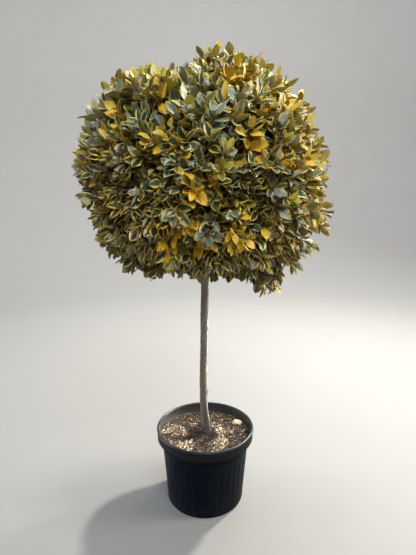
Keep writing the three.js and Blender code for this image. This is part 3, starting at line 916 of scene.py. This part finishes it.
# The same plastic on the tub and on its lip, which hands have rubbed smoother.
# The lip's lighter, bluer colour is a painted sky sheen
def blackPlastic(name, shine, smoothness):
    material, shader = newMaterial(name, pot["black"], 0.45, shine)
    clouds = addNoise(shader, 70 * mm, (1, 1, 0.6), 5, 0.6)
    scuffs = addNoise(shader, 9 * mm, (1, 1, 0.14), 5, 0.7)
    grain = addNoise(shader, 1.1 * mm, detail=3)
    height, mouth, foot = addHeight(shader), pot["mouthRadius"], pot["skirtFoot"]
    low = addRange(height, 0.55, 0.05, 0.0, 0.09)
    dusty = addMaths("MULTIPLY", low, addRange(scuffs, 0.0, 1.0, 0.42, 0.7))
    # painted sky sheen along the top of the lip
    lip = addRange(height, 0.0, 1.0, pot["height"] - 12 * mm, pot["height"] - 4 * mm)
    band = addRange(height, 0.0, 1.0, foot - 1 * mm, foot + 4 * mm)
    inside = addRange(addReach(shader), 1.0, 0.0, mouth + 2 * mm, mouth + 4 * mm)
    upper = addRange(height, 0.0, 1.0, foot, foot + 4 * mm)
    body = addMix(addRange(clouds, 0.0, 0.5, 0.4, 0.7), pot["black"], pot["worn"])
    body = addMix(dusty, body, pot["dust"])
    body = addMix(band, body, pot["band"])
    body = addMix(addMaths("MULTIPLY", inside, upper), body, pot["inside"])
    feed(addMix(lip, body, pot["lip"]), shader.inputs["Base Color"])
    gloss = addRange(scuffs, *smoothness)
    gloss = addMaths("ADD", gloss, addMaths("MULTIPLY", dusty, 0.3))
    feed(gloss, shader.inputs["Roughness"])
    heights = addMaths("ADD", grain, addMaths("MULTIPLY", scuffs, 0.6))
    addBump(shader, heights, 0.25 * mm, 0.6)
    return material


def buildPot():
    outer, lip = tubProfile() + skirtProfile(), lipProfile()
    profile = [(0, 0)] + outer + lip + insideProfile() + [(0, pot["floor"])]
    points, corners = turnedShape(profile, pot["sides"], potFlutes)
    bands = np.arange(len(corners)) // (2 * pot["sides"])
    onLip = (bands >= len(outer)) & (bands < len(outer) + len(lip))
    materials = [
        blackPlastic("blackTubPlastic", 0.05, (0.36, 0.6)),
        blackPlastic("rubbedLipPlastic", 0.27, (0.3, 0.45)),
    ]
    makePiece("potTub", [(points, corners)], materials, ["pot"], onLip)


# Compost: a rough top of bark mulch with loose chips, dark compost and painted shade round the stem, and one
# pale stone
compost = {
    "edge": 315 * mm, "middle": 323 * mm, "gap": 0.3 * mm,
    "rings": 60, "sides": 160,
    "rough": 4 * mm,
    "chips": 4800,
    "chipLengths": (6 * mm, 21 * mm),
    "chipTilt": 0.28,
    "bare": 26 * mm,  # round the stem
    "seed": 77,
    "stone": {"place": (0.158, 0.081), "size": (23 * mm, 17 * mm, 13 * mm), "rings": 14, "sides": 22},
    "dark": light(36, 27, 20),
    "brown": light(70, 57, 45),
    "paints": paintsOf(
        darkMulch=(28, 22, 17), brownMulch=(74, 59, 46), greyMulch=(104, 92, 78), tanChip=(150, 131, 105),
        paleChip=(192, 175, 146), redChip=(104, 64, 46), paleStone=(182, 167, 138),
    ),
    # how often a chip has each paint, in the open and at the stem's foot, where it is painted shade,
    # and what painted shade makes of that
    "shares": (4, 4, 4, 5, 4, 0.3),
    "foot": {"place": (-0.015, -0.022), "edge": (0.058, 0.1), "shares": (12, 2, 0.2, 0, 0, 0.2)},
    "shadeFactors": (9, 5, 1.3, 0.3, 0.1, 1),
    "redPatch": {"place": (-0.14, 0.03), "reach": 0.05, "factors": (1, 1, 1, 1, 1, 8)},
}
compostReach = pot["mouthRadius"] - compost["gap"]


def compostHeight(x, y):
    far = math.hypot(x, y) / compostReach
    slope = between(compost["middle"], compost["edge"], smoothStep(far, 0.12, 1.0))
    lumps = noise.noise(Vector((x, y, 0)) * 26) + 0.6 * noise.noise(Vector((x, y, 0.3)) * 70)
    return slope + compost["rough"] * lumps * smoothStep(far, 0.05, 0.2)


def mulchMaterial():
    material, shader = newMaterial("mulchBed", compost["brown"], 0.95, 0.25)
    dark, brown, tan = compost["dark"], compost["brown"], dict(compost["paints"])["tanChip"]
    crumbs = addNoise(shader, 5 * mm, (1, 1, 1), 5, 0.7)
    patches = addNoise(shader, 50 * mm, detail=3)
    body = addRamp(crumbs, [(0.32, dark), (0.5, brown), (0.68, tan)])
    body = addMix(addRange(patches, 0.0, 0.7, 0.45, 0.65), body, dark)
    # painted shade round the stem's foot darkens the mulch
    foot = addRange(addReach(shader), 0.9, 0.0, 50 * mm, 95 * mm)
    feed(addMix(foot, body, dark), shader.inputs["Base Color"])
    addBump(shader, crumbs, 2 * mm, 0.8)
    return material


def chipMaterial(name, colour):
    material, shader = newMaterial(name, colour, 0.9, 0.25)
    addBump(shader, addNoise(shader, 2.5 * mm, (1, 1, 1), 4, 0.7), 0.8 * mm, 0.8)
    return material


# Painted shade lies over the chips round the stem's foot and in patches, most of all at the right and back
def chipPaint(x, y, rng):
    foot, red = compost["foot"], compost["redPatch"]
    away = smoothStep(math.dist((x, y), foot["place"]), *foot["edge"])
    shares = np.array(foot["shares"]) * (1 - away) + np.array(compost["shares"]) * away
    shade = noise.noise(Vector((x, y, 1)) * 12)
    shade = shade + 0.45 * smoothStep(x, 0.1, 0.19) + 1.7 * smoothStep(y, 0.05, 0.14)
    if shade > 0.15:
        shares = shares * np.array(compost["shadeFactors"])
    if math.dist((x, y), red["place"]) < red["reach"]:
        shares = shares * np.array(red["factors"])
    return weighted(rng, shares)


# A flat splinter of eight corners, each trimmed a little by chance
def chipShape(x, y, length, rng):
    width, height = length * rng.uniform(0.25, 0.6), rng.uniform(1.5, 4) * mm
    corners = []
    for dz in (-1, 1):
        for dx, dy in ((-1, -1), (1, -1), (1, 1), (-1, 1)):
            trim = rng.uniform(0.6, 1.0)
            rise = dz * height / 2 * rng.uniform(0.6, 1)
            corners.append(Vector((dx * length / 2 * trim, dy * width / 2 * trim, rise)))
    turn = Matrix.Rotation(rng.uniform(0, 2 * math.pi), 3, "Z")
    tilts = [Matrix.Rotation(rng.gauss(0, compost["chipTilt"]), 3, axis) for axis in "XY"]
    place = Vector((x, y, compostHeight(x, y) + height * rng.uniform(-0.1, 0.6)))
    return [place + turn @ (tilts[0] @ tilts[1] @ corner) for corner in corners], [
        (0, 2, 1), (0, 3, 2), (4, 5, 6), (4, 6, 7), (0, 1, 5), (0, 5, 4),
        (1, 2, 6), (1, 6, 5), (2, 3, 7), (2, 7, 6), (3, 0, 4), (3, 4, 7),
    ]


def stoneShape():
    stone = compost["stone"]
    x, y = stone["place"]
    base = Vector((x, y, compostHeight(x, y) + 0.35 * stone["size"][2]))
    profile = [(math.sin(a), -math.cos(a)) for a in np.linspace(0, math.pi, stone["rings"])]
    points, corners = turnedShape(profile, stone["sides"])
    ways = [Vector(point) for point in points]
    for place, way in enumerate(ways):
        swell = 1 + 0.3 * noise.noise(way * 1.9 + Vector((5, 0, 0))) + 0.12 * noise.noise(way * 4.5)
        ways[place] = base + way * swell * Vector(stone["size"])
    return ways, corners


# The filling follows the pot's inside, and only its top is rough
def buildCompost():
    edge, top, gap, wall = compostReach, compost["edge"], compost["gap"], pot["wall"]
    foot, corner, step = pot["floor"] + gap, pot["baseCorner"] + pot["floor"], pot["stepFoot"]
    profile = [
        (0, foot), (pot["baseRadius"] - wall - 2 * gap, foot),
        (potBodyRadius(corner) - wall - 2 * gap, corner),
        (potBodyRadius(step) - wall - gap, step + pot["stepLift"]), (edge, top - 0.2 * mm),
    ]
    profile += [(edge * share, top) for share in np.linspace(0.998, 0.01, compost["rings"])] + [(0, top)]
    points, corners = turnedShape(profile, compost["sides"])
    points = [(x, y, compostHeight(x, y) if z > top - 0.1 * mm else z) for x, y, z in points]
    makePiece("mulchBed", [(points, corners)], [mulchMaterial()], ["compost"])

    rng = random.Random(compost["seed"])
    chips, looks = [], []
    while len(chips) < compost["chips"]:
        length = rng.uniform(*compost["chipLengths"]) * rng.uniform(0.5, 1)
        far, turn = (edge - length / 2 - 1 * mm) * math.sqrt(rng.random()), rng.uniform(0, 2 * math.pi)
        x, y = far * math.cos(turn), far * math.sin(turn)
        if far > compost["bare"]:
            chips.append(chipShape(x, y, length, rng))
            looks.append(chipPaint(x, y, rng))
    materials = [chipMaterial(name, colour) for name, colour in compost["paints"]]
    chips.append(stoneShape())
    looks.append(len(materials) - 1)
    looks = np.repeat(looks, [len(corners) for _, corners in chips])
    makePiece("mulchChips", chips, materials, ["compost"], looks, smooth=False)


# Studio: a pale floor that curves up into a round backdrop, soft lamps, and the photo's camera
studio = {
    "floorRadius": 8.0, "wallHeight": 8.0, "curve": 3.6, "sides": 96,
    "floor": light(118, 117, 115),
    "camera": {"place": (0.0135, -1.795, 1.39), "pitch": 10.2, "lens": 26.6, "sensor": 36},
    # name, place, what it points at, size, power, colour
    "lamps": [
        ("sunBehind", (2.75, 2.35, 3.9), (0, 0, 1.2), 0.45, 510, (1, 0.95, 0.86)),
        ("warmSide", (3.5, -0.3, 2.7), (0, 0, 1.4), 1.6, 205, (1, 0.95, 0.84)),
        ("sunAbove", (0.9, 1.6, 4.6), (0, 0, 1.6), 1.4, 75, (1, 0.96, 0.88)),
        ("skyFront", (0.9, -3.6, 4.6), (0, 0, 1.4), 3.0, 294, (0.84, 0.93, 1)),
        ("edgeSun", (2.5, 1.7, 1.55), (0, 0, 0.64), 0.3, 8, (1, 0.95, 0.86)),
        ("lowFront", (-0.8, -1.7, 0.12), (-0.2, 0, 1.15), 1.2, 1.4, (1, 0.94, 0.84)),
        ("lowLeft", (-2.6, 0.1, 0.35), (0, 0, 0.25), 0.8, 2.6, (1, 0.94, 0.86)),
        ("wallWash", (0, 1.6, 5.6), (0, 8, 2.4), 3.0, 900, (1, 0.99, 0.97)),
    ],
    "spreads": {"edgeSun": 14, "lowLeft": 20, "lowFront": 50},  # degrees, for lamps that reach one part
    "sky": (0.84, 0.92, 1.0, 1),
    "skyPower": 1.1,
}


def buildFloor():
    radius, curve, sides = studio["floorRadius"], studio["curve"], studio["sides"]
    top = studio["wallHeight"]
    profile = [(0, 0)] + [(r, 0) for r in (0.02, 1, 3, radius - curve)]
    for degrees in range(10, 91, 10):
        a = math.radians(degrees)
        profile.append((radius - curve + curve * math.sin(a), curve * (1 - math.cos(a))))
    points, corners = turnedShape(profile + [(radius, top), (0, top)], sides)
    material, shader = newMaterial("paleFloor", studio["floor"], 0.8, 0.3)
    feed(addRange(addNoise(shader, 0.4, detail=3), 0.75, 0.85), shader.inputs["Roughness"])
    newShape("paleFloor", points, corners[:-sides], [material])  # without its lid


def buildLights():
    for name, place, target, size, power, colour in studio["lamps"]:
        lamp = bpy.data.lights.new(name, "AREA")
        lamp.shape, lamp.size, lamp.energy, lamp.color = "DISK", size, power, colour
        lamp.spread = math.radians(studio["spreads"].get(name, 180))
        holder = addObject(name, lamp)
        holder.location = place
        holder.rotation_mode = "QUATERNION"
        holder.rotation_quaternion = (Vector(target) - Vector(place)).to_track_quat("-Z", "Y")
    world = bpy.data.worlds.new("studioSky")
    world.use_nodes = True
    sky = world.node_tree.nodes["Background"]
    sky.inputs["Color"].default_value = studio["sky"]
    sky.inputs["Strength"].default_value = studio["skyPower"]
    bpy.context.scene.world = world


def buildCamera():
    view = studio["camera"]
    lens = bpy.data.cameras.new("photoCamera")
    lens.lens, lens.sensor_width, lens.sensor_fit = view["lens"], view["sensor"], "AUTO"
    lens.clip_start, lens.clip_end = 0.05, 60
    camera = addObject("photoCamera", lens)
    camera.location = view["place"]
    camera.rotation_euler = (math.radians(90 - view["pitch"]), 0, 0)
    bpy.context.scene.camera = camera


masses = massesOf()
buildTrunk(masses)
print("stem and boughs built")
buildCrown(masses)
print("crown grown")
buildPot()
buildCompost()
print("pot and compost built")
buildFloor()
buildLights()
buildCamera()
bpy.context.scene.view_settings.view_transform = "Standard"
print("studio set")
